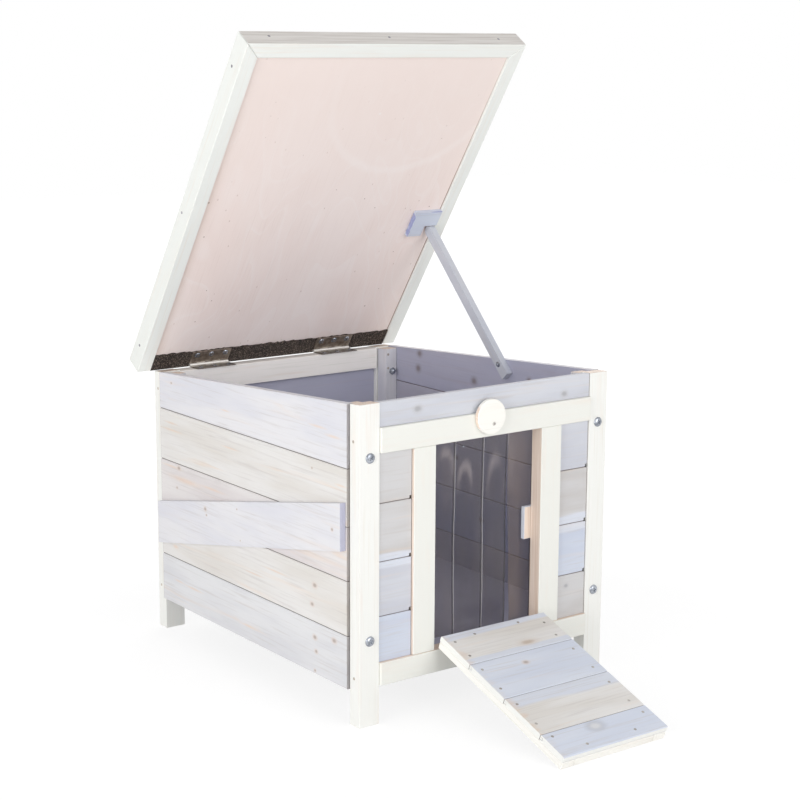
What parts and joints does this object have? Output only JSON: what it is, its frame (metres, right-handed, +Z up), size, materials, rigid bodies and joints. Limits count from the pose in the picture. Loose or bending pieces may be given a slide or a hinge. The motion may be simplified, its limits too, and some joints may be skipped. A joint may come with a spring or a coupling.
{
  "type": "outdoor cat house",
  "caption": "Raised timber cat house with a propped hinged lid, a doorway with a hanging strip curtain, a fold-up ramp and a turn button.",
  "frame": {"origin": "centre of the overall bounding box in X and Y, on the ground, at rest with the lid open on its prop and the ramp down", "axes": "+X to the right as seen from the doorway side, +Y towards the back, +Z up; the doorway and ramp face -Y"},
  "size_m": [0.446, 0.77, 0.8423],
  "materials": {
    "white_paint": "opaque white paint, slightly satin, on sawn pine",
    "washed_pine": "thin pale grey wash, pine grain and knots showing through",
    "raw_pine": "bare sawn pine",
    "plywood": "pale pinkish plywood, matt",
    "roof_felt": "dark gritty roofing felt",
    "hinge_steel": "dull brownish zinc with brighter screws",
    "clear_strip": "clear soft plastic strip"
  },
  "bodies": {
    "house": {"post_front_left": "white_paint", "post_front_right": "white_paint", "post_back_left": "white_paint", "post_back_right": "white_paint", "corner_batten_front_left": "white_paint", "corner_batten_front_right": "white_paint", "corner_batten_back_left": "white_paint", "corner_batten_back_right": "white_paint", "front_bottom_rail": "white_paint", "front_top_rail": "white_paint", "jamb_left": "white_paint", "jamb_right": "white_paint", "back_bottom_rail": "white_paint", "back_top_rail": "white_paint", "side_left_board_1": "washed_pine", "side_left_board_2": "washed_pine", "side_left_board_3": "washed_pine", "side_left_board_4": "washed_pine", "side_left_board_5": "washed_pine", "side_right_board_1": "washed_pine", "side_right_board_2": "washed_pine", "side_right_board_3": "washed_pine", "side_right_board_4": "washed_pine", "side_right_board_5": "washed_pine", "front_top_board": "washed_pine", "front_infill_left": "washed_pine", "front_infill_right": "washed_pine", "back_boards": "washed_pine", "sign_plank": "washed_pine", "curtain_batten": "raw_pine", "stop_block": "raw_pine", "floor": "plywood", "lid_hinge_left_rail_leaf": "hinge_steel", "lid_hinge_right_rail_leaf": "hinge_steel", "ramp_hinge_left_sill_leaf": "hinge_steel", "ramp_hinge_right_sill_leaf": "hinge_steel"},
    "lid": {"lid_rail_left": "white_paint", "lid_rail_right": "white_paint", "lid_rail_front": "white_paint", "lid_panel": "plywood", "lid_bracket": "plywood", "lid_felt": "roof_felt", "lid_hinge_left_lid_leaf": "hinge_steel", "lid_hinge_right_lid_leaf": "hinge_steel"},
    "prop": {"prop_stick": "washed_pine"},
    "ramp": {"ramp_batten_left": "white_paint", "ramp_batten_right": "white_paint", "ramp_batten_house_end": "white_paint", "ramp_batten_ground_end": "white_paint", "ramp_board_1": "washed_pine", "ramp_board_2": "washed_pine", "ramp_board_3": "washed_pine", "ramp_board_4": "washed_pine", "ramp_hinge_left_ramp_leaf": "hinge_steel", "ramp_hinge_right_ramp_leaf": "hinge_steel"},
    "button": {"turn_button": "white_paint"},
    "strip_1": {"curtain_strip_1": "clear_strip"},
    "strip_2": {"curtain_strip_2": "clear_strip"},
    "strip_3": {"curtain_strip_3": "clear_strip"},
    "strip_4": {"curtain_strip_4": "clear_strip"}
  },
  "joints": [
    {"name": "lid_hinge", "type": "hinge", "parent": "house", "child": "lid", "pos_m": [0.0043, 0.35889, 0.3767], "axis": [1, 0, 0], "range_deg": [0, 52.47]},
    {"name": "prop_notch", "type": "hinge", "parent": "lid", "child": "prop", "pos_m": [0.1926, 0.23122, 0.56019], "axis": [1, 0, 0], "range_deg": [-52.48, 0]},
    {"name": "ramp_hinge", "type": "hinge", "parent": "house", "child": "ramp", "pos_m": [0.0043, -0.14241, 0.0821], "axis": [1, 0, 0], "range_deg": [-109.7, 0]},
    {"name": "turn_button_nail", "type": "hinge", "parent": "house", "child": "button", "pos_m": [0.0038, -0.14841, 0.3618], "axis": [0, -1, 0], "continuous": true},
    {"name": "strip_1_top", "type": "hinge", "parent": "house", "child": "strip_1", "pos_m": [-0.05245, -0.11266, 0.3438], "axis": [1, 0, 0], "range_deg": [0, 70]},
    {"name": "strip_2_top", "type": "hinge", "parent": "house", "child": "strip_2", "pos_m": [-0.0067, -0.11266, 0.3438], "axis": [1, 0, 0], "range_deg": [0, 70]},
    {"name": "strip_3_top", "type": "hinge", "parent": "house", "child": "strip_3", "pos_m": [0.0363, -0.11266, 0.3438], "axis": [1, 0, 0], "range_deg": [0, 70]},
    {"name": "strip_4_top", "type": "hinge", "parent": "house", "child": "strip_4", "pos_m": [0.0783, -0.11266, 0.3438], "axis": [1, 0, 0], "range_deg": [0, 70]}
  ],
  "couplings": [
    {"joint": "prop_notch", "follows": "lid_hinge", "ratio": -1}
  ]
}
